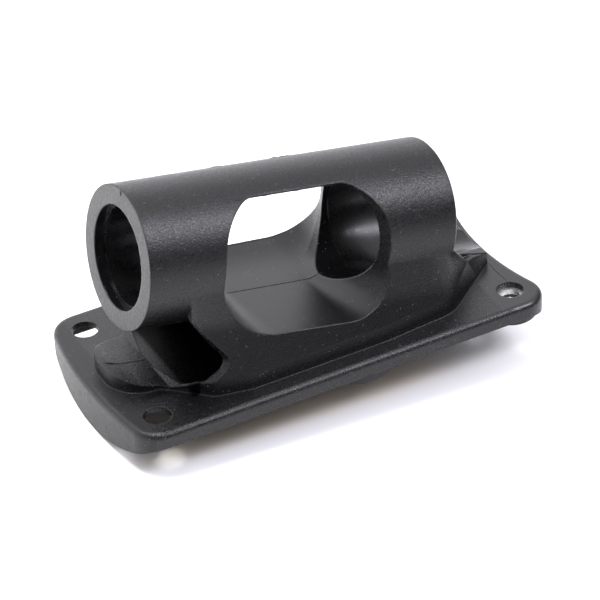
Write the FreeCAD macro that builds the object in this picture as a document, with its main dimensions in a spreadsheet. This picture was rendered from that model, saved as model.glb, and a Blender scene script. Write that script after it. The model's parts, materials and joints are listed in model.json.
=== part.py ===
"""Cleat horn: a tube seat, tilted down to the rear, on a pedestal and a screwed flange.

Frame: millimetres, +Z up, +X from the mouth's end to the rear, +Y across. The origin is midway between the
two front screw holes, on the flange's flat top. The object mirrors in the plane Y = 0.
"""
import FreeCAD, Part
import math
import os
import re
import Sketcher
from FreeCAD import Placement, Rotation, Vector

SIZES = {
    "zero": 0.0,
    # flange
    "hole_pitch_long": 96.5,
    "hole_pitch_wide": 40.6,
    "hole_radius": 3.3,
    "flange_half_width": 28.2,
    "flange_front": -9.5,
    "flange_rear": 100.9,
    "front_edge_radius": 122.0,
    "rear_edge_radius": 69.0,
    "corner_radius": 7.0,
    "edge_round": 1.5,
    "plate": 1.6,
    "skirt": 2.0,
    "underside_radius": 57.4,
    "underside_drop": 11.4,
    "relief_station": 92.0,
    "relief_height": 5.0,
    # tube
    "tube_radius": 17.5,
    "tube_length": 82.4,
    "tube_tilt": 10.1,
    "tube_front": 2.1,
    "tube_rise": 32.2,
    "tube_chamfer": 0.4,
    "mouth_radius": 12.7,
    "lip_length": 2.6,
    "front_seat": 14.1,
    "front_bore": 12.0,
    "sleeve_length": 15.4,
    "rear_seat": 15.2,
    "rear_bore": 14.1,
    # window through the tube, measured from the tube's axis and front face
    "window_front": 26.3,
    "window_rear": 57.2,
    "window_flare": 9.4,
    "window_reach": 24.0,
    "window_ceiling": 15.5,
    "window_floor": 15.2,
    "window_round": 5.0,
    "upper_front_round": 9.0,
    "upper_rear_round": 12.0,
    "lower_front_round": 17.0,
    "lower_rear_round": 14.0,
    # pedestal, foot and the space under them
    "crease_drop": 3.3,
    "crease_half_width": 17.2,
    "hollow_half_width": 15.8,
    "foot_height": 4.3,
    "floor_wall": 2.6,
    "hollow_ceiling": 12.0,
    "pocket_rear": 30.0,
    "pocket_wall": 2.0,
    "ramp_half_width": 7.4,
    "bevel_start": 18.0,
    "bevel_shift": 6.5,
    # pads, washers and their bosses
    "pad_radius": 7.9,
    "pad_station": 54.5,
    "pad_offset": 18.0,
    "pad_bottom": 8.4,
    "pad_chamfer": 0.5,
    "washer_radius": 5.5,
    "washer_bore": 2.4,
    "washer_thickness": 1.4,
    "boss_radius": 6.6,
    "boss_bottom": 6.1,
}

# Outlines as rows of (along, across, corner radius). A half outline is mirrored in Y = 0.
OUTLINES = {
    "foot": [
        (-5.1, 10.2, 9.5), (5.3, 11.4, 4.0), (14.8, 21.0, 5.0), (24.4, 23.0, 0),
        (60.2, 23.0, 0), (79.8, 21.3, 10.0), (92.5, 11.5, 0), (97.8, 7.4, 0),
    ],
    "foot_top": [
        (-5.0, 10.1, 9.5), (5.3, 11.3, 4.0), (14.8, 20.8, 5.0), (24.4, 22.7, 0),
        (60.2, 22.7, 0), (79.5, 21.0, 9.5), (90.8, 9.6, 0), (97.7, 7.3, 0),
    ],
    "pedestal": [
        (9.0, 14.5, 0), (14.8, 20.8, 4.0), (24.4, 22.7, 0),
        (60.2, 22.7, 0), (79.5, 21.0, 9.5), (90.8, 9.6, 0),
    ],
    "hollow": [
        (7.0, 3.0, 0), (9.2, 14.4, 0), (13.3, 18.7, 2.5),
        (23.4, 20.8, 0), (60.0, 20.9, 0), (74.0, 19.5, 0),
    ],
    # side profiles of the space above the foot's rear end and of the ramp behind the tube
    "rear_slope": [(93.0, 4.31, 0), (99.0, 2.6, 0), (99.0, 8.0, 0), (93.0, 8.0, 0)],
    "ramp": [(82.0, 0.0, 0), (97.7, 0.0, 0), (97.7, 3.1, 0), (82.0, 7.9, 0)],
    # side profile of the front notch and of the dish ahead of it
    "notch": [
        (-20.0, 11.0, 0), (-0.1, 2.3, 12.0), (6.8, 0.9, 0), (10.4, 2.2, 10.0), (18.7, 7.5, 3.5),
        (12.4, 19.7, 0), (12.4, 34.0, 0), (-20.0, 34.0, 0),
    ],
}
# Stations along the creases where the sides meet the tube, one for each vertex of the outline below.
CREASE_STATIONS = {
    "pedestal": [11.0, 13.0, 16.5, 25.0, 58.0, 72.0, 80.0, 82.8],
    "hollow": [2.0, 4.0, 9.0, 14.0, 24.0, 58.0, 72.0],
}

UPRIGHT = Rotation(Vector(1, 0, 0), 90)
ALONG_X = Rotation(Vector(0, 1, 0), 90)


def start_document():
    """New document whose sheet holds every size and every outline point under a name of its own."""
    cells = dict(SIZES)
    for name, corners in OUTLINES.items():
        for number, corner in enumerate(corners):
            for part, measure in zip(("along", "across", "round"), corner):
                cells["%s_%s_%d" % (name, part, number)] = measure
    for name, stations in CREASE_STATIONS.items():
        for number, station in enumerate(stations):
            cells["%s_station_%d" % (name, number)] = station
    doc = FreeCAD.newDocument("CleatHorn")
    sheet = doc.addObject("Spreadsheet::Sheet", "Sizes")
    for row, (name, measure) in enumerate(cells.items(), start=1):
        sheet.set("A%d" % row, name)
        sheet.set("B%d" % row, str(measure))
        sheet.setAlias("B%d" % row, name)
    doc.recompute()
    return doc, sheet


doc, sheet = start_document()


def size(terms):
    """Value of a sum of cells, such as "plate + skirt" or "-plate"."""
    total = 0.0
    for sign_text, name in re.findall(r"([-+]?)\s*(\w+)", terms):
        sign = -1 if sign_text == "-" else 1
        total += sign * float(getattr(sheet, name))
    return total


def formula(terms):
    """The same sum as an expression for setExpression."""
    return re.sub(r"[a-z]\w*", lambda word: "Sizes." + word.group(), terms)


def tube_place(along=0.0, across=0.0, up=0.0, turn=Rotation()):
    """Placement in the tube's frame: origin at the front face's centre, X along the axis."""
    tilt = Rotation(Vector(0, 1, 0), size("tube_tilt"))
    frame = Placement(Vector(size("tube_front"), 0, size("tube_rise")), tilt)
    return frame.multiply(Placement(Vector(along, across, up), turn))


# Sketches

def bind_constraint(sketch, constraint, terms):
    """Adds a dimension and ties it to the sheet."""
    index = sketch.addConstraint(constraint)
    sketch.setExpression("Constraints[%d]" % index, formula(terms))


def join(sketch, kind, *places):
    sketch.addConstraint(Sketcher.Constraint(kind, *places))


def half_corners(name):
    """Cells of a half outline's corners, then of their mirror images, in one loop."""
    half = loop_corners(name)
    return half + [(along, "-" + across, radius) for along, across, radius in reversed(half)]


def loop_corners(name):
    parts = ("along", "across", "round")
    return [tuple("%s_%s_%d" % (name, part, n) for part in parts) for n in range(len(OUTLINES[name]))]


def tangent_points(points, radii, index):
    """Where one corner's rounding meets the edges before and after it, and the way the outline turns."""
    vertex = points[index]
    way_in = (vertex - points[index - 1]).normalize()
    way_out = (points[(index + 1) % len(points)] - vertex).normalize()
    setback = radii[index] * math.tan(way_in.getAngle(way_out) / 2)
    return vertex - way_in * setback, vertex + way_out * setback, way_in.cross(way_out).z


def fix_point(sketch, geometry, position, along, across):
    """Dimensions a sketch point from the sketch's origin."""
    for kind, terms in (("DistanceX", along), ("DistanceY", across)):
        bind_constraint(sketch, Sketcher.Constraint(kind, geometry, position, size(terms)), terms)


def add_arc(sketch, arrive, leave, vertex, radius, turn):
    """Tangent arc across a corner: its index, and its point numbers at the arriving and leaving ends."""
    inward = ((arrive + leave) * 0.5 - vertex).normalize()
    centre = vertex + inward * math.hypot(radius, (arrive - vertex).Length)
    first, last = (arrive, leave) if turn > 0 else (leave, arrive)
    angles = [math.atan2(end.y - centre.y, end.x - centre.x) for end in (first, last)]
    circle = Part.Circle(centre, Vector(0, 0, 1), radius)
    index = sketch.addGeometry(Part.ArcOfCircle(circle, angles[0], angles[1]), False)
    return (index, 1, 2) if turn > 0 else (index, 2, 1)


def draw_outline(sketch, corners):
    """Closed outline through the corners that the cells give, rounded where the radius isn't zero."""
    points = [Vector(size(along), size(across), 0) for along, across, radius in corners]
    radii = [size(radius) for along, across, radius in corners]
    count = len(corners)
    ends = [tangent_points(points, radii, index) for index in range(count)]
    lines = []
    for index in range(count):
        segment = Part.LineSegment(ends[index][1], ends[(index + 1) % count][0])
        lines.append(sketch.addGeometry(segment, False))
    for index, (along, across, radius) in enumerate(corners):
        line_in, line_out = lines[index - 1], lines[index]
        if radii[index] == 0:
            join(sketch, "Coincident", line_in, 2, line_out, 1)
            fix_point(sketch, line_out, 1, along, across)
            continue
        arrive, leave, turn = ends[index]
        arc, start, finish = add_arc(sketch, arrive, leave, points[index], radii[index], turn)
        corner = sketch.addGeometry(Part.Point(points[index]), True)
        join(sketch, "Tangent", line_in, 2, arc, start)
        join(sketch, "Tangent", arc, finish, line_out, 1)
        join(sketch, "PointOnObject", corner, 1, line_in)
        join(sketch, "PointOnObject", corner, 1, line_out)
        fix_point(sketch, corner, 1, along, across)
        bind_constraint(sketch, Sketcher.Constraint("Radius", arc, radii[index]), radius)


def free_sketch(name, corners, placement):
    """Sketch that belongs to no body, for extrusions and lofts."""
    sketch = doc.addObject("Sketcher::SketchObject", name)
    sketch.Placement = placement
    draw_outline(sketch, corners)
    return sketch


def body_sketch(body, name, role):
    sketch = body.newObject("Sketcher::SketchObject", name)
    plane = next(plane for plane in body.Origin.OriginFeatures if plane.Role == role)
    sketch.AttachmentSupport = (plane, [""])
    sketch.MapMode = "FlatFace"
    return sketch


# Solids

def cylinder(name, radius, length, placement):
    solid = doc.addObject("Part::Cylinder", name)
    solid.setExpression("Radius", formula(radius))
    solid.setExpression("Height", formula(length))
    solid.Placement = placement
    return solid


def box(name, length, width, height, placement):
    solid = doc.addObject("Part::Box", name)
    solid.setExpression("Length", formula(length))
    solid.setExpression("Width", formula(width))
    solid.setExpression("Height", formula(height))
    solid.Placement = placement
    return solid


def fuse(name, *shapes):
    joined = doc.addObject("Part::MultiFuse", name)
    joined.Shapes = list(shapes)
    return joined


def cut(name, base, tool):
    result = doc.addObject("Part::Cut", name)
    result.Base = base
    result.Tool = tool
    return result


def extrude(name, sketch, direction, forward, backward):
    solid = doc.addObject("Part::Extrusion", name)
    solid.Base = sketch
    solid.DirMode = "Custom"
    solid.Dir = direction
    solid.Solid = True
    solid.setExpression("LengthFwd", formula(forward))
    solid.setExpression("LengthRev", formula(backward))
    return solid


def loft(name, *sketches):
    solid = doc.addObject("Part::Loft", name)
    solid.Sections = list(sketches)
    solid.Solid = True
    solid.Ruled = True
    return solid


# Flange

def edge_names(shape, wanted):
    """Names of a shape's edges that pass a test."""
    return ["Edge%d" % number for number, edge in enumerate(shape.Edges, start=1) if wanted(edge)]


def is_upright(edge):
    bounds = edge.BoundBox
    return bounds.XLength < 0.001 and bounds.YLength < 0.001


def is_on_top(edge):
    bounds = edge.BoundBox
    return abs(bounds.ZMin) < 0.001 and abs(bounds.ZMax) < 0.001


def is_circle(edge, radius):
    return len(edge.Vertexes) == 1 and abs(edge.BoundBox.XLength - 2 * radius) < 0.01


def end_arc(sketch, far, near, position, edge, radius, sign, inset):
    """Front or rear edge of the flange: an arc centred on the X axis, between the two long edges."""
    middle = size("%s + %s" % (edge, radius))
    reach = size("%s %s %s" % (radius, sign, inset))
    spread = math.asin(size("flange_half_width - " + inset) / reach)
    circle = Part.Circle(Vector(middle, 0, 0), Vector(0, 0, 1), reach)
    arc = sketch.addGeometry(Part.ArcOfCircle(circle, math.pi - spread, math.pi + spread), False)
    join(sketch, "Coincident", arc, 1, far, position)
    join(sketch, "Coincident", arc, 2, near, position)
    join(sketch, "PointOnObject", arc, 3, -1)
    bind_constraint(sketch, Sketcher.Constraint("Radius", arc, reach), "%s %s %s" % (radius, sign, inset))
    bind_constraint(sketch, Sketcher.Constraint("DistanceX", arc, 3, middle), "%s + %s" % (edge, radius))
    return middle - reach * math.cos(spread)


def draw_plan(sketch, inset):
    """Flange outline, moved in by the inset: bowed front edge, hollow rear edge, straight long edges."""
    half = size("flange_half_width - " + inset)
    lines = {}
    for side, sign in ((1, ""), (-1, "-")):
        ends = [Vector(size(edge), side * half, 0) for edge in ("flange_front", "flange_rear")]
        lines[side] = sketch.addGeometry(Part.LineSegment(ends[0], ends[1]), False)
        join(sketch, "Horizontal", lines[side])
        across = Sketcher.Constraint("DistanceY", lines[side], 1, side * half)
        bind_constraint(sketch, across, "%s(flange_half_width - %s)" % (sign, inset))
    end_arc(sketch, lines[1], lines[-1], 1, "flange_front", "front_edge_radius", "-", inset)
    end_arc(sketch, lines[1], lines[-1], 2, "flange_rear", "rear_edge_radius", "+", inset)


def plan_body(name, inset, drop, corner_radius):
    """Body padded down from the flange's outline, with its upright corners rounded."""
    body = doc.addObject("PartDesign::Body", name)
    plan = body_sketch(body, name + "Plan", "XY_Plane")
    draw_plan(plan, inset)
    plan.setExpression("AttachmentOffset.Base.z", formula("-" + drop))
    pad = body.newObject("PartDesign::Pad", name + "Pad")
    pad.Profile = plan
    pad.Reversed = True
    pad.setExpression("Length", formula("underside_drop"))
    doc.recompute()
    corners = body.newObject("PartDesign::Fillet", name + "Corners")
    corners.Base = (pad, edge_names(pad.Shape, is_upright))
    corners.setExpression("Radius", formula(corner_radius))
    doc.recompute()
    return body


def make_flange_blank():
    body = plan_body("FlangeBlank", "zero", "zero", "corner_radius")
    corners = body.Tip
    rim = body.newObject("PartDesign::Fillet", "FlangeRim")
    rim.Base = (corners, edge_names(corners.Shape, is_on_top))
    rim.setExpression("Radius", formula("edge_round"))
    return body


def hole_place(station, side, up):
    """Upright placement on a screw hole's axis; side is -1 for the near row and 1 for the far row."""
    return Placement(Vector(station, side * size("hole_pitch_wide") / 2, up), Rotation())


def make_shell():
    """Flange with its round underside, open from below and short at the rear, and the rear holes' bosses."""
    length = "hole_pitch_long + front_edge_radius"
    middle = Vector(-size("front_edge_radius") / 2, 0, size("underside_radius - underside_drop"))
    roller = cylinder("UndersideRoller", "underside_radius", length, Placement(middle, ALONG_X))
    rounded = doc.addObject("Part::Common", "RoundedFlange")
    rounded.Base = make_flange_blank()
    rounded.Tool = roller
    cavity = plan_body("FlangeCavity", "skirt", "plate", "corner_radius - skirt")
    below = -size("relief_height + underside_drop")
    relief_place = Placement(Vector(size("relief_station"), -size("flange_half_width"), below), Rotation())
    relief = box("RearRelief", "corner_radius * 3", "flange_half_width * 2", "underside_drop", relief_place)
    pieces = [cut("ReliefFlange", cut("OpenFlange", rounded, cavity), relief)]
    for side, name in ((-1, "Near"), (1, "Far")):
        place = hole_place(size("hole_pitch_long"), side, -size("boss_bottom"))
        wall = cylinder(name + "BossWall", "boss_radius", "boss_bottom - plate / 2", place)
        pocket = cylinder(name + "BossPocket", "washer_radius", "boss_bottom - plate", place)
        pieces.append(cut(name + "Boss", wall, pocket))
    return fuse("FlangeShell", *pieces)


# Foot and pedestal

def crease_sketch(name, across):
    """Outline in the plane of the creases, with one vertex above each vertex of the outline below."""
    half = [("%s_station_%d" % (name, n), across, "zero") for n in range(len(CREASE_STATIONS[name]))]
    corners = half + [(along, "-" + side, radius) for along, side, radius in reversed(half)]
    return free_sketch(name.capitalize() + "Crease", corners, tube_place(up=-size("crease_drop")))


def foot_top():
    return Placement(Vector(0, 0, size("foot_height")), Rotation())


def side_profile(name):
    """Sketch of an outline seen from the near side."""
    title = name.title().replace("_", "") + "Profile"
    return free_sketch(title, loop_corners(name), Placement(Vector(), UPRIGHT))


def make_foot():
    """Foot with nearly upright walls, sloped off on top at its rear end, and the ramp behind the tube."""
    plan = free_sketch("FootPlan", half_corners("foot"), Placement())
    wall = loft("FootWall", plan, free_sketch("FootTopPlan", half_corners("foot_top"), foot_top()))
    root = extrude("FootRoot", plan, Vector(0, 0, 1), "zero", "plate")
    across = ("flange_half_width", "flange_half_width")
    slope = extrude("RearSlope", side_profile("rear_slope"), Vector(0, 1, 0), *across)
    sloped = cut("SlopedFoot", wall, slope)
    ramp = extrude("Ramp", side_profile("ramp"), Vector(0, 1, 0), "ramp_half_width", "ramp_half_width")
    return [sloped, root, ramp]


def make_bevel(side, name):
    """Bevel along one side of the notch, wider towards the outside."""
    corners = loop_corners("notch")
    start = Placement(Vector(0, side * size("bevel_start"), 0), UPRIGHT)
    end = Placement(Vector(size("bevel_shift"), side * size("flange_half_width"), 0), UPRIGHT)
    return loft(name, free_sketch(name + "Start", corners, start), free_sketch(name + "End", corners, end))


def make_pedestal():
    """Foot and pedestal, with the front notch and the dish ahead of it cut across them."""
    base = free_sketch("PedestalPlan", half_corners("pedestal"), foot_top())
    sides = loft("PedestalSides", base, crease_sketch("pedestal", "crease_half_width"))
    notch = extrude("Notch", side_profile("notch"), Vector(0, 1, 0), "flange_half_width", "flange_half_width")
    notched = cut("NotchedPedestal", fuse("PedestalBlank", sides, *make_foot()), notch)
    near = cut("NearBevelled", notched, make_bevel(-1, "NearBevel"))
    return cut("Pedestal", near, make_bevel(1, "FarBevel"))


def make_hollow(tube):
    """Space in the pedestal under the tube and the window's floor: a blind pocket open into the notch,
    and behind a cross wall a space open below."""
    base = free_sketch("HollowPlan", half_corners("hollow"), foot_top())
    lower = extrude("HollowLower", base, Vector(0, 0, 1), "zero", "foot_height + underside_drop")
    upper = loft("HollowUpper", base, crease_sketch("hollow", "hollow_half_width"))
    side = -size("flange_half_width")
    widths = ("flange_half_width * 2", "tube_radius * 2")
    floor_start = tube_place(size("window_front - window_flare"), side, -size("window_floor + floor_wall"))
    floor = box("WindowFloorSlab", "tube_length", *widths, floor_start)
    ceiling_start = tube_place(-size("tube_length") / 2, side, -size("hollow_ceiling"))
    ceiling = box("NotchCeiling", "tube_length", *widths, ceiling_start)
    ground = Placement(Vector(0, side, -size("underside_drop")), Rotation())
    wall_start = Placement(Vector(size("pocket_rear"), side, -size("underside_drop")), Rotation())
    width = "flange_half_width * 2"
    bottom = box("PocketFloor", "pocket_rear + pocket_wall", width, "underside_drop", ground)
    wall = box("PocketWall", "pocket_wall", width, "underside_drop + tube_rise", wall_start)
    limits = fuse("HollowLimits", tube, floor, ceiling, bottom, wall)
    return cut("Hollow", fuse("HollowBlank", lower, upper), limits)


# Tube, window and bores

def window_corners(flare, rounds):
    """Rounded rectangle of the window's opening at the middle or at the outside."""
    front, rear = "window_front - " + flare, "window_rear + " + flare
    places = [
        (front, "-window_floor"), (rear, "-window_floor"),
        (rear, "window_ceiling"), (front, "window_ceiling"),
    ]
    return [(along, up, radius) for (along, up), radius in zip(places, rounds)]


def make_window(side, name):
    """Half of the window, from the middle plane outwards, wider at the outside than at the middle."""
    outer_rounds = ["lower_front_round", "lower_rear_round", "upper_rear_round", "upper_front_round"]
    middle_rounds = ["window_round"] * 4
    outside = tube_place(across=side * size("window_reach"), turn=UPRIGHT)
    middle = free_sketch(name + "Middle", window_corners("zero", middle_rounds), tube_place(turn=UPRIGHT))
    outer = free_sketch(name + "Outer", window_corners("window_flare", outer_rounds), outside)
    return loft(name, middle, outer)


def end_chamfered(tube):
    """The tube with its rear edge broken."""
    doc.recompute()
    rear = max(range(len(tube.Shape.Edges)), key=lambda index: tube.Shape.Edges[index].BoundBox.XMin)
    chamfered = doc.addObject("Part::Chamfer", "ChamferedTube")
    chamfered.Base = tube
    chamfered.Edges = [(rear + 1, size("tube_chamfer"), size("tube_chamfer"))]
    return chamfered


def make_bores():
    """Mouth through the whole tube and on behind it, the rear half's wider bore, and the sleeves' seats."""
    mouth = cylinder("Mouth", "mouth_radius", "tube_length * 2", tube_place(turn=ALONG_X))
    front = cylinder("FrontSeat", "front_seat", "window_front", tube_place(size("lip_length"), turn=ALONG_X))
    start = tube_place(size("window_rear - window_round"), turn=ALONG_X)
    bore = cylinder("RearBore", "rear_bore", "tube_length - lip_length - window_rear + window_round", start)
    rear = cylinder("RearSeat", "rear_seat", "sleeve_length", rear_seat_place())
    return [mouth, front, bore, rear]


def rear_seat_place():
    return tube_place(size("tube_length - lip_length - sleeve_length"), turn=ALONG_X)


def make_holes():
    holes = []
    for station, end in ((0.0, "Front"), (size("hole_pitch_long"), "Rear")):
        for side, row in ((-1, "Near"), (1, "Far")):
            place = hole_place(station, side, -size("underside_drop"))
            holes.append(cylinder(end + row + "Hole", "hole_radius", "underside_drop * 2", place))
    return holes


def make_cleat_body():
    tube = cylinder("Tube", "tube_radius", "tube_length", tube_place(turn=ALONG_X))
    solid = fuse("SolidBody", make_shell(), make_pedestal(), end_chamfered(tube))
    windows = [make_window(-1, "NearWindow"), make_window(1, "FarWindow")]
    openings = fuse("Openings", make_hollow(tube), *windows, *make_bores(), *make_holes())
    return cut("CleatBody", solid, openings)


# Separate pieces

def padded_circles(name, radii, length, placement):
    """Body padded up from concentric circles in its own XY plane."""
    body = doc.addObject("PartDesign::Body", name)
    sketch = body_sketch(body, name + "Section", "XY_Plane")
    for terms in radii:
        circle = sketch.addGeometry(Part.Circle(Vector(), Vector(0, 0, 1), size(terms)), False)
        join(sketch, "Coincident", circle, 3, -1, 1)
        bind_constraint(sketch, Sketcher.Constraint("Radius", circle, size(terms)), terms)
    pad = body.newObject("PartDesign::Pad", name + "Pad")
    pad.Profile = sketch
    pad.setExpression("Length", formula(length))
    body.Placement = placement
    return body


def chamfer_rims(body, radius, depth):
    """Chamfers both end circles of one radius."""
    doc.recompute()
    pad = body.Tip
    rims = edge_names(pad.Shape, lambda edge: is_circle(edge, size(radius)))
    chamfer = body.newObject("PartDesign::Chamfer", body.Name + "Rims")
    chamfer.Base = (pad, rims)
    chamfer.setExpression("Size", formula(depth))
    return body


def make_washer(name, side):
    place = hole_place(size("hole_pitch_long"), side, -size("plate + washer_thickness"))
    return padded_circles(name, ["washer_radius", "washer_bore"], "washer_thickness", place)


def make_pad(name, side):
    place = Placement(Vector(size("pad_station"), side * size("pad_offset"), -size("pad_bottom")), Rotation())
    pad = padded_circles(name, ["pad_radius"], "pad_bottom - plate", place)
    return chamfer_rims(pad, "pad_radius", "pad_chamfer")


def make_nodes():
    """Every sub-part under the name that it is kept by."""
    front_place = tube_place(size("lip_length"), turn=ALONG_X)
    front_radii, rear_radii = ["front_seat", "front_bore"], ["rear_seat", "rear_bore"]
    return {
        "cleat_body": make_cleat_body(),
        "front_bore_sleeve": padded_circles("FrontSleeve", front_radii, "sleeve_length", front_place),
        "rear_bore_sleeve": padded_circles("RearSleeve", rear_radii, "sleeve_length", rear_seat_place()),
        "near_edge_pad": make_pad("NearPad", -1),
        "far_edge_pad": make_pad("FarPad", 1),
        "rear_near_washer": make_washer("NearWasher", -1),
        "rear_far_washer": make_washer("FarWasher", 1),
    }


def check_document():
    for thing in doc.Objects:
        if "Invalid" in thing.State or "Error" in thing.State:
            raise RuntimeError("%s is %s" % (thing.Name, thing.State))


def export_nodes(nodes):
    os.makedirs("parts", exist_ok=True)
    for label, node in nodes.items():
        node.Label = label
        shape = node.Shape
        if shape.isNull() or not shape.isValid() or len(shape.Solids) != 1:
            raise RuntimeError("%s has no single valid solid" % label)
        print("%s: %.1f mm3, %d faces" % (label, shape.Volume, len(shape.Faces)))
    for label, node in nodes.items():
        node.Shape.exportStep("parts/%s.step" % label)


all_nodes = make_nodes()
doc.recompute()
check_document()
export_nodes(all_nodes)
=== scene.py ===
import math

import bmesh
import bpy
from mathutils import Matrix, Vector, noise
from mathutils.bvhtree import BVHTree
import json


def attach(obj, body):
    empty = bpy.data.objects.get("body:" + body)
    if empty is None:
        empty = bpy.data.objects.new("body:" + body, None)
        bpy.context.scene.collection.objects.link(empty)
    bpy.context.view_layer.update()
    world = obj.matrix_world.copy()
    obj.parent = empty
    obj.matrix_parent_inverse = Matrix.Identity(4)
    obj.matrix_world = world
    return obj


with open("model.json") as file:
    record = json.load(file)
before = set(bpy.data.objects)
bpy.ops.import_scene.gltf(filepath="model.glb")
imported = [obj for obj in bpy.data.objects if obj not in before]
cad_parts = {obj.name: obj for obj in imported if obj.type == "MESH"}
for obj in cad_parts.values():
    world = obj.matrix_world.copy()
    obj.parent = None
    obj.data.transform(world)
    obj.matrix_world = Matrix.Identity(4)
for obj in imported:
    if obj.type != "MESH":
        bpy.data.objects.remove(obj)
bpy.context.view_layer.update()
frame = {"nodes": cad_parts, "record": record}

# The camera, at the photograph's viewing angle: a point in the CAD frame, heading, tilt and a small roll.
CAMERA_PLACE = Vector((-0.215725, -0.53665, 0.42254))
CAMERA_AZIMUTH = math.radians(-26.244)
CAMERA_ELEVATION = math.radians(35.062)
CAMERA_ROLL = math.radians(-3.366)
CAMERA_LENS = 179.3

# The floor's slope: the X and Y parts of its normal beside a Z of 1. The object's rear stands clear of it.
FLOOR_LEAN = (0.043, -0.023)
FLOOR_REACH = 3

# The tube's own frame: origin at the middle of its front face, X along its axis.
TUBE_TILT = math.radians(10.1)
TUBE_FRONT = Vector((0.0021, 0.0, 0.0322))
TUBE_RADIUS = 0.0175
REAR_BORE = 0.0141

# The tube's windows, in the tube's frame: floor, top edge and that edge's distance from the middle.
WINDOW_FLOOR = -0.0152
WINDOW_TOP = 0.0155
WINDOW_TOP_ASIDE = 0.00812

# The pocket under the tube, in the CAD frame, where the moulding paints shade: nearly black, without specks,
# with little sheen.
POCKET_FRONT = 0.0095
POCKET_REAR = 0.0300
POCKET_ASIDE = 0.0180

# Rays that look for the moulding's surface go down from this height in the tube's frame.
PROBE_HEIGHT = -0.004
DOWN = Vector((0.0, 0.0, -1.0))

scene = bpy.context.scene
nodes = frame["nodes"]


class Shader:
    """A node tree with one Principled shader, and short ways to add and link nodes."""

    def __init__(self, name):
        self.material = bpy.data.materials.new(name)
        self.material.use_nodes = True
        self.tree = self.material.node_tree
        self.surface = self.tree.nodes["Principled BSDF"]
        self.place = self.add("ShaderNodeTexCoord").outputs["Object"]

    def add(self, kind, **settings):
        node = self.tree.nodes.new(kind)
        for name, value in settings.items():
            setattr(node, name, value)
        return node

    def link(self, source, target):
        self.tree.links.new(source, target)

    def split(self, vector):
        """The three numbers of a vector."""
        node = self.add("ShaderNodeSeparateXYZ")
        self.link(vector, node.inputs[0])
        return node.outputs

    def math(self, operation, first, second=0.0, third=0.0):
        node = self.add("ShaderNodeMath", operation=operation)
        for socket, value in zip(node.inputs, (first, second, third)):
            if isinstance(value, (int, float)):
                socket.default_value = value
            else:
                self.link(value, socket)
        return node.outputs[0]

    def plus(self, base, mask, amount):
        """The base, with the amount added where the mask is 1."""
        return self.math("MULTIPLY_ADD", mask, amount, base)

    def product(self, first, *others):
        for other in others:
            first = self.math("MULTIPLY", first, other)
        return first

    def largest(self, first, *others):
        for other in others:
            first = self.math("MAXIMUM", first, other)
        return first

    def noise(self, scale, detail=3.0, roughness=0.55):
        node = self.add("ShaderNodeTexNoise")
        node.inputs["Scale"].default_value = scale
        node.inputs["Detail"].default_value = detail
        node.inputs["Roughness"].default_value = roughness
        self.link(self.place, node.inputs["Vector"])
        return node.outputs["Fac"]

    def ramp(self, source, low, high, to_low=0.0, to_high=1.0):
        """A smooth step between two values of the source."""
        node = self.add("ShaderNodeMapRange", clamp=True, interpolation_type="SMOOTHSTEP")
        for name, value in (("From Min", low), ("From Max", high), ("To Min", to_low), ("To Max", to_high)):
            node.inputs[name].default_value = value
        self.link(source, node.inputs["Value"])
        return node.outputs["Result"]

    def fade(self, source, low, high):
        """1 below the low value, 0 above the high one."""
        return self.ramp(source, low, high, 1.0, 0.0)

    def blend(self, factor, first, second):
        """A colour between two colours."""
        node = self.add("ShaderNodeMix", data_type="RGBA")
        self.link(factor, node.inputs["Factor"])
        for socket, value in ((node.inputs[6], first), (node.inputs[7], second)):
            if isinstance(value, tuple):
                socket.default_value = (*value, 1.0)
            else:
                self.link(value, socket)
        return node.outputs[2]

    def bump(self, height, strength, distance, under=None):
        node = self.add("ShaderNodeBump")
        node.inputs["Strength"].default_value = strength
        node.inputs["Distance"].default_value = distance
        self.link(height, node.inputs["Height"])
        if under is not None:
            self.link(under, node.inputs["Normal"])
        return node.outputs["Normal"]

    def soft_edges(self, radius):
        """Normal rounded over sharp edges, so that they catch the light."""
        node = self.add("ShaderNodeBevel", samples=6)
        node.inputs["Radius"].default_value = radius
        return node.outputs["Normal"]

    def in_tube(self):
        """The place in the tube's own frame, as three numbers."""
        mapping = self.add("ShaderNodeMapping", vector_type="TEXTURE")
        mapping.inputs["Location"].default_value = TUBE_FRONT
        mapping.inputs["Rotation"].default_value = (0.0, TUBE_TILT, 0.0)
        self.link(self.place, mapping.inputs["Vector"])
        return self.split(mapping.outputs[0])

    def finish(self, colour, roughness, normal):
        self.link(colour, self.surface.inputs["Base Color"])
        self.link(roughness, self.surface.inputs["Roughness"])
        self.link(normal, self.surface.inputs["Normal"])
        return self.material


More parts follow.
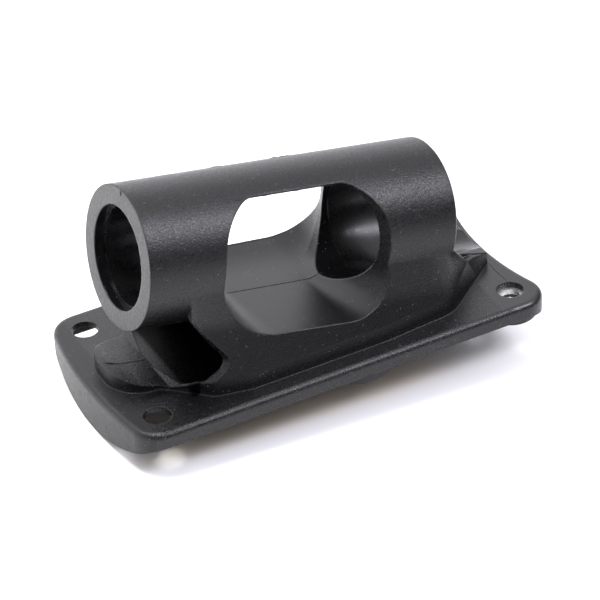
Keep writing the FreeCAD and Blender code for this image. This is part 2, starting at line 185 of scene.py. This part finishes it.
def moulding():
    """Matt black moulded plastic: fine grain, pale specks, smooth bores and window floor; painted shade
    makes the pocket nearly black, and painted shade and highlight change the sheen on the near side, the far
    window wall, faces turned down and the window's floor.
    """
    shader = Shader("black_moulding")
    along, across, up = shader.in_tube()
    x, y, z = shader.split(shader.place)
    facing_y, facing_z = shader.split(shader.add("ShaderNodeNewGeometry").outputs["Normal"])[1:3]
    radius = shader.math("SQRT", shader.math("MULTIPLY_ADD", across, across, shader.product(up, up)))

    # Masks from the object's own geometry. The ring is the tube's front face.
    on_ring = shader.fade(along, 0.0001, 0.0002)
    off_ring = shader.math("SUBTRACT", 1.0, on_ring)
    in_bore = shader.product(shader.fade(radius, REAR_BORE + 0.0001, REAR_BORE + 0.0002), off_ring)
    # Painted shade: this mask makes the pocket nearly black, clears its specks and cuts its sheen.
    pocket_painted_shade = shader.product(
        shader.fade(shader.math("ABSOLUTE", y), POCKET_ASIDE, POCKET_ASIDE + 0.0006),
        shader.ramp(x, POCKET_FRONT, POCKET_FRONT + 0.0015),
        shader.fade(x, POCKET_REAR, POCKET_REAR + 0.0005),
        shader.fade(up, -TUBE_RADIUS - 0.0007, -TUBE_RADIUS - 0.0005),
    )
    window_floor = shader.product(
        shader.ramp(up, WINDOW_FLOOR - 0.0010, WINDOW_FLOOR - 0.0008),
        shader.fade(up, WINDOW_FLOOR + 0.0022, WINDOW_FLOOR + 0.0052),
        shader.ramp(facing_z, 0.4, 0.7),
    )
    # These three masks paint shade: they cut the sheen on the near side, the far window wall and faces
    # turned down.
    near_side = shader.product(
        shader.fade(facing_y, -0.65, -0.25),
        shader.ramp(z, 0.0005, 0.0015),
        shader.fade(up, -0.0135, -0.0090),
    )
    far_wall = shader.product(
        shader.ramp(y, 0.004, 0.007),
        shader.ramp(up, WINDOW_FLOOR + 0.0007, WINDOW_FLOOR + 0.0027),
        shader.fade(radius, TUBE_RADIUS - 0.0009, TUBE_RADIUS - 0.0006),
        shader.ramp(along, 0.0160, 0.0170),
    )
    facing_down = shader.fade(facing_z, -0.85, -0.60)
    painted_shade_faces = shader.largest(near_side, far_wall, facing_down)

    # Grain in two sizes, and pale specks that thin out in places.
    fine = shader.noise(3000.0, 2.0, 0.65)
    coarse = shader.noise(1600.0, 2.0, 0.6)
    grain = shader.plus(fine, coarse, 0.5)
    cells = shader.add("ShaderNodeTexVoronoi", feature="F1")
    cells.inputs["Scale"].default_value = 1300.0
    shader.link(shader.place, cells.inputs["Vector"])
    specks = shader.product(
        shader.fade(cells.outputs["Distance"], 0.12, 0.24),
        shader.ramp(shader.noise(520.0, 1.0), 0.56, 0.66),
        shader.math("SUBTRACT", 1.0, pocket_painted_shade),
    )

    cloud = shader.noise(140.0, 3.0, 0.5)
    dark = shader.blend(cloud, (0.0030, 0.0030, 0.0034), (0.0056, 0.0056, 0.0062))
    # Painted shade: the pocket under the tube is coloured nearly black.
    dark = shader.blend(pocket_painted_shade, dark, (0.0006, 0.0006, 0.0007))
    colour = shader.blend(specks, dark, (0.11, 0.11, 0.12))

    # The grain is four times shallower in the bores and on the window's floor.
    depth = shader.math("MULTIPLY_ADD", shader.largest(in_bore, window_floor), -0.75, 1.0)
    rough = shader.math("MULTIPLY_ADD", shader.ramp(grain, 0.50, 1.00, -0.12, 0.12), depth, 0.32)
    rough = shader.plus(rough, in_bore, -0.10)
    rough = shader.plus(rough, on_ring, 0.06)
    # Painted shade: the pocket's sheen is cut hard.
    gloss = shader.math("MULTIPLY_ADD", pocket_painted_shade, -0.42, 0.50)
    gloss = shader.plus(gloss, on_ring, -0.09)
    # Painted highlight and shade: more sheen on the near half of the window's floor, less towards its far
    # side.
    gloss = shader.plus(gloss, window_floor, shader.ramp(y, 0.004, 0.018, 0.12, -0.26))
    # Painted shade: less sheen on the near side, the far window wall and faces turned down.
    gloss = shader.largest(shader.plus(gloss, painted_shade_faces, -0.27), 0.05)
    shader.link(gloss, shader.surface.inputs["Specular IOR Level"])
    relief = shader.product(grain, depth)
    return shader.finish(colour, rough, shader.bump(relief, 0.9, 0.00010, shader.soft_edges(0.00060)))


def liner():
    """Smooth black bore with faint marks."""
    shader = Shader("gloss_liner")
    wear = shader.noise(300.0, 4.0, 0.6)
    colour = shader.blend(wear, (0.0025, 0.0025, 0.003), (0.005, 0.005, 0.0055))
    roughness = shader.ramp(wear, 0.3, 0.7, 0.24, 0.32)
    return shader.finish(colour, roughness, shader.bump(shader.noise(1500.0), 0.12, 0.00003))


def mottled(name, grain, colours, roughnesses, relief, sockets):
    """Two colours and two roughnesses mixed by one noise, which also makes a faint relief."""
    shader = Shader(name)
    for socket, value in sockets.items():
        shader.surface.inputs[socket].default_value = value
    marks = shader.noise(*grain)
    colour = shader.blend(marks, *colours)
    return shader.finish(colour, shader.ramp(marks, 0.3, 0.7, *roughnesses), shader.bump(marks, *relief))


# The first four are the record's material slots. Seam is torn flash, matt and darker; edge is a lighter
# strip painted as the highlight along the windows' lower edges.
FINISHES = {
    "moulding": moulding(),
    "liner": liner(),
    "pad": mottled(
        "matt_pad", (2600.0, 3.0, 0.6), ((0.020, 0.020, 0.021), (0.038, 0.038, 0.040)), (0.55, 0.72),
        (0.3, 0.00005), {},
    ),
    # Washer: partly the zinc's own pale colour, partly painted light, brightened to stand for the lit ground
    # seen through the rear hole.
    "washer": mottled(
        "pale_washer_painted_light", (900.0, 5.0, 0.7), ((0.66, 0.65, 0.63), (0.84, 0.83, 0.81)), (0.34, 0.52),
        (0.2, 0.00004), {"Metallic": 1.0},
    ),
    "seam": mottled(
        "torn_flash", (6000.0, 3.0, 0.6), ((0.0015, 0.0015, 0.0017), (0.0080, 0.0078, 0.0078)), (0.50, 0.70),
        (0.5, 0.00005), {"Specular IOR Level": 0.25},
    ),
    # Painted highlight: a lighter strip for the light caught along each window's lower edge.
    "edge": mottled(
        "painted_highlight_edge", (2500.0, 2.0, 0.6), ((0.006, 0.006, 0.0065), (0.014, 0.014, 0.015)), (0.30, 0.46),
        (0.4, 0.00005), {},
    ),
}


def dress_nodes():
    """Gives every CAD node the finish of its record slot."""
    for subpart in frame["record"]["subparts"]:
        data = nodes[subpart["node"]].data
        data.materials.clear()
        data.materials.append(FINISHES[subpart["material_slot"]])


def tube_point(along, across, up):
    """A point of the tube's own frame, in the CAD frame."""
    return TUBE_FRONT + Matrix.Rotation(TUBE_TILT, 3, "Y") @ Vector((along, across, up))


def body_surface():
    """Search tree of the moulding's own faces."""
    data = nodes["cleat_body"].data
    faces = [list(polygon.vertices) for polygon in data.polygons]
    return BVHTree.FromPolygons([vertex.co for vertex in data.vertices], faces)


SURFACE = body_surface()


def on_surface(start, direction):
    """Where a ray first meets the moulding, and the face's normal towards the ray; None where it misses."""
    hit, normal = SURFACE.ray_cast(start, direction)[:2]
    if hit is not None and normal.dot(direction) > 0:
        normal.negate()
    return hit, normal


def spread(start, end, count):
    """Evenly spaced points from start to end."""
    return [Vector(start).lerp(Vector(end), step / (count - 1)) for step in range(count)]


def add_strip(name, rows, finish):
    """A smooth strip of quads through rows of points, riding on the root body."""
    shape = bmesh.new()
    corners = [[shape.verts.new(point) for point in row] for row in rows]
    for first, second in zip(corners, corners[1:]):
        for column in range(len(first) - 1):
            shape.faces.new((first[column], first[column + 1], second[column + 1], second[column]))
    mesh = bpy.data.meshes.new(name)
    shape.to_mesh(mesh)
    shape.free()
    mesh.materials.append(FINISHES[finish])
    for polygon in mesh.polygons:
        polygon.use_smooth = True
    piece = bpy.data.objects.new(name, mesh)
    scene.collection.objects.link(piece)
    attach(piece, "root")


def add_ridge(name, path, width, height, finish="seam"):
    """Low rounded ridge along surface points, tapered at its ends and uneven as a moulding's flash is."""
    profile = ((-0.5, -0.25), (-0.28, 0.6), (0.0, 1.0), (0.28, 0.6), (0.5, -0.25))
    rows = []
    last = len(path) - 1
    for index, (point, normal) in enumerate(path):
        way = path[min(index + 1, last)][0] - path[max(index - 1, 0)][0]
        side = way.cross(normal).normalized()
        taper = min(1.0, 0.35 + min(index, last - index) / 3.0)
        swell = taper * (1.0 + 0.45 * noise.noise(point * 900.0))
        wide, high = side * width * swell, normal * height * swell
        rows.append([point + wide * across + high * up for across, up in profile])
    add_strip(name, rows, finish)


def add_line_below(name, points, width, height):
    """Ridge on the surface straight below the points."""
    add_ridge(name, [on_surface(point, DOWN) for point in points], width, height)


def add_parting_lines():
    """Where the mould's halves met along the window's floor and the apron, and a curve on the flange."""
    window = spread(tube_point(0.028, 0.0, PROBE_HEIGHT), tube_point(0.0556, 0.0, PROBE_HEIGHT), 60)
    add_line_below("window_parting_line", window, 0.00030, 0.00007)
    apron = spread((-0.0044, 0.0, 0.0135), (0.0066, 0.0, 0.0135), 30)
    add_line_below("apron_parting_line", apron, 0.00032, 0.00009)
    nib = spread((-0.0036, 0.0002, 0.0135), (-0.0016, -0.0001, 0.0135), 8)
    add_line_below("apron_gate_nib", nib, 0.0008, 0.00022)
    witness = []
    for step in range(24):
        across = -0.0075 - 0.0004 * step
        witness.append(Vector((0.0977 + 12.0 * (across + 0.0125) ** 2, across, 0.004)))
    add_line_below("flange_witness_line", witness, 0.00022, 0.00004)


def add_flash(name, side, lumps):
    """Thin uneven flash along the top edge of one window; lumps are (place along, size) pairs."""
    lump_width = 0.0007
    rows = []
    for point in spread((0.0240, 0, 0), (0.0560, 0, 0), 110):
        rise = sum(size * math.exp(-((point.x - place) / lump_width) ** 2) for place, size in lumps)
        rise += 0.00006 * (1.0 + noise.noise(Vector((point.x * 1500.0, side * 3.0, 0.0))))
        section = (
            (WINDOW_TOP_ASIDE, WINDOW_TOP),
            (WINDOW_TOP_ASIDE + rise * 0.55, WINDOW_TOP + rise * 0.25),
            (WINDOW_TOP_ASIDE + rise * 0.10, WINDOW_TOP - rise * 0.9),
            (WINDOW_TOP_ASIDE - 0.00032, WINDOW_TOP + 0.00002),
        )
        rows.append([tube_point(point.x, side * aside, up) for aside, up in section])
    add_strip(name, rows, "seam")


def add_ring_nick():
    """Small dark burr on the upper part of the tube's front face."""
    along_tube = tube_point(1, 0, 0) - TUBE_FRONT
    starts = [tube_point(-0.004, 0.0011 + 0.00004 * step, 0.0158 + 0.00015 * step) for step in range(10)]
    add_ridge("ring_nick", [on_surface(start, along_tube) for start in starts], 0.00040, 0.00012)


def window_edge(side):
    """Points along the lower edge of one window, where its floor ends, with a normal leaning outwards."""
    inmost, step, cliff = 0.009, 0.00002, 0.00005
    path = []
    for start in spread((0.0215, 0, 0), (0.0560, 0, 0), 90):
        last = None
        for count in range(700):
            hit = on_surface(tube_point(start.x, side * (inmost + step * count), PROBE_HEIGHT), DOWN)[0]
            if hit is None or (last is not None and last.z - hit.z > cliff):
                break
            last = hit
        if last is not None:
            path.append((last, Vector((0.0, side * 0.6, 0.8))))
    return path


def add_floor():
    """Pale floor under the object's lowest point, with a tan painted shadow tint where the near edge shades
    it.
    """
    lean = Vector((*FLOOR_LEAN, 1.0))
    level = min(lean.dot(vertex.co) for vertex in nodes["cleat_body"].data.vertices)
    mesh = bpy.data.meshes.new("floor")
    far = FLOOR_REACH
    sides = ((-far, -far), (far, -far), (far, far), (-far, far))
    mesh.from_pydata([(x, y, level - lean.x * x - lean.y * y) for x, y in sides], [], [(0, 1, 2, 3)])
    floor = bpy.data.objects.new("floor", mesh)
    scene.collection.objects.link(floor)
    shader = Shader("pale_floor")
    x, y = shader.split(shader.place)[:2]
    # Painted shadow: a tan tint in the floor's colour along the near edge's shade.
    painted_shadow_tint = shader.product(
        shader.ramp(y, -0.0275, -0.0195),
        shader.fade(y, 0.0, 0.02),
        shader.ramp(x, -0.015, 0.015),
        shader.fade(x, 0.060, 0.090),
    )
    tint = shader.blend(painted_shadow_tint, (0.925, 0.925, 0.925), (0.92, 0.81, 0.69))
    shader.link(tint, shader.surface.inputs["Base Color"])
    shader.surface.inputs["Roughness"].default_value = 0.7
    mesh.materials.append(shader.material)


def add_light(name, place, target, size, power, colour=(1.0, 1.0, 1.0)):
    """Rectangular area light that faces its target."""
    light = bpy.data.lights.new(name, "AREA")
    light.shape = "RECTANGLE"
    light.size, light.size_y = size
    light.energy = power
    light.color = colour
    lamp = bpy.data.objects.new(name, light)
    lamp.location = place
    lamp.rotation_euler = (Vector(target) - Vector(place)).to_track_quat("-Z", "Y").to_euler()
    scene.collection.objects.link(lamp)
    return light


def add_world():
    """Soft room light: bright behind and to the left, softer overhead, dim in front at the horizon."""
    # Each glow: its direction, where along it the glow starts and where it is full, and its full strength.
    glows = (((-0.40, 0.92, 0.0), -0.25, 0.75, 1.85), ((0.0, 0.0, 1.0), 0.15, 0.92, 1.45))
    dimmest = 0.04
    world = bpy.data.worlds.new("studio")
    world.use_nodes = True
    tree = world.node_tree
    place = tree.nodes.new("ShaderNodeTexCoord").outputs["Generated"]
    highest = tree.nodes.new("ShaderNodeMath")
    highest.operation = "MAXIMUM"
    for (axis, start, full, strength), socket in zip(glows, highest.inputs):
        facing = tree.nodes.new("ShaderNodeVectorMath")
        facing.operation = "DOT_PRODUCT"
        tree.links.new(place, facing.inputs[0])
        facing.inputs[1].default_value = axis
        level = tree.nodes.new("ShaderNodeMapRange")
        level.interpolation_type = "SMOOTHSTEP"
        limits = (("From Min", start), ("From Max", full), ("To Min", dimmest), ("To Max", strength))
        for name, value in limits:
            level.inputs[name].default_value = value
        tree.links.new(facing.outputs["Value"], level.inputs["Value"])
        tree.links.new(level.outputs["Result"], socket)
    background = tree.nodes["Background"]
    background.inputs["Color"].default_value = (0.962, 0.955, 1.0, 1.0)
    tree.links.new(highest.outputs[0], background.inputs["Strength"])
    scene.world = world


def add_camera():
    data = bpy.data.cameras.new("camera")
    data.sensor_width = 36.0
    data.lens = CAMERA_LENS
    data.clip_start = 0.01
    data.clip_end = 20.0
    camera = bpy.data.objects.new("camera", data)
    turn = Matrix.Rotation(CAMERA_AZIMUTH, 4, "Z")
    tilt = Matrix.Rotation(math.pi / 2 - CAMERA_ELEVATION, 4, "X")
    roll = Matrix.Rotation(CAMERA_ROLL, 4, "Z")
    camera.matrix_world = Matrix.Translation(CAMERA_PLACE) @ turn @ tilt @ roll
    scene.collection.objects.link(camera)
    scene.camera = camera


NEAR, FAR = -1, 1
NEAR_LUMPS = ((0.0262, 0.00022), (0.0330, 0.00015), (0.0415, 0.00012), (0.0502, 0.00020))
FAR_LUMPS = ((0.0278, 0.00030), (0.0292, 0.00020), (0.0440, 0.00035), (0.0462, 0.00028), (0.0475, 0.00020))

dress_nodes()
add_parting_lines()
add_flash("near_window_flash", NEAR, NEAR_LUMPS)
add_flash("far_window_flash", FAR, FAR_LUMPS)
add_ring_nick()
# Ridges along the windows' lower edges, coloured lighter as a painted highlight.
add_ridge("near_window_lower_edge", window_edge(NEAR), 0.00045, 0.00010, "edge")
add_ridge("far_window_lower_edge", window_edge(FAR), 0.00045, 0.00010, "edge")
add_floor()
add_world()
add_light("key_softbox", (0.50, -0.40, 0.68), (0.045, 0.0, 0.02), (0.25, 0.30), 4.2, (0.90, 0.89, 1.0))
floor_lamp = add_light("floor_lamp", (-0.14, 0.20, 0.60), (-0.12, 0.17, 0.0), (0.36, 0.36), 0.85)
floor_lamp.spread = math.radians(34)
add_camera()
scene.view_settings.view_transform = "Standard"
scene.view_settings.look = "None"
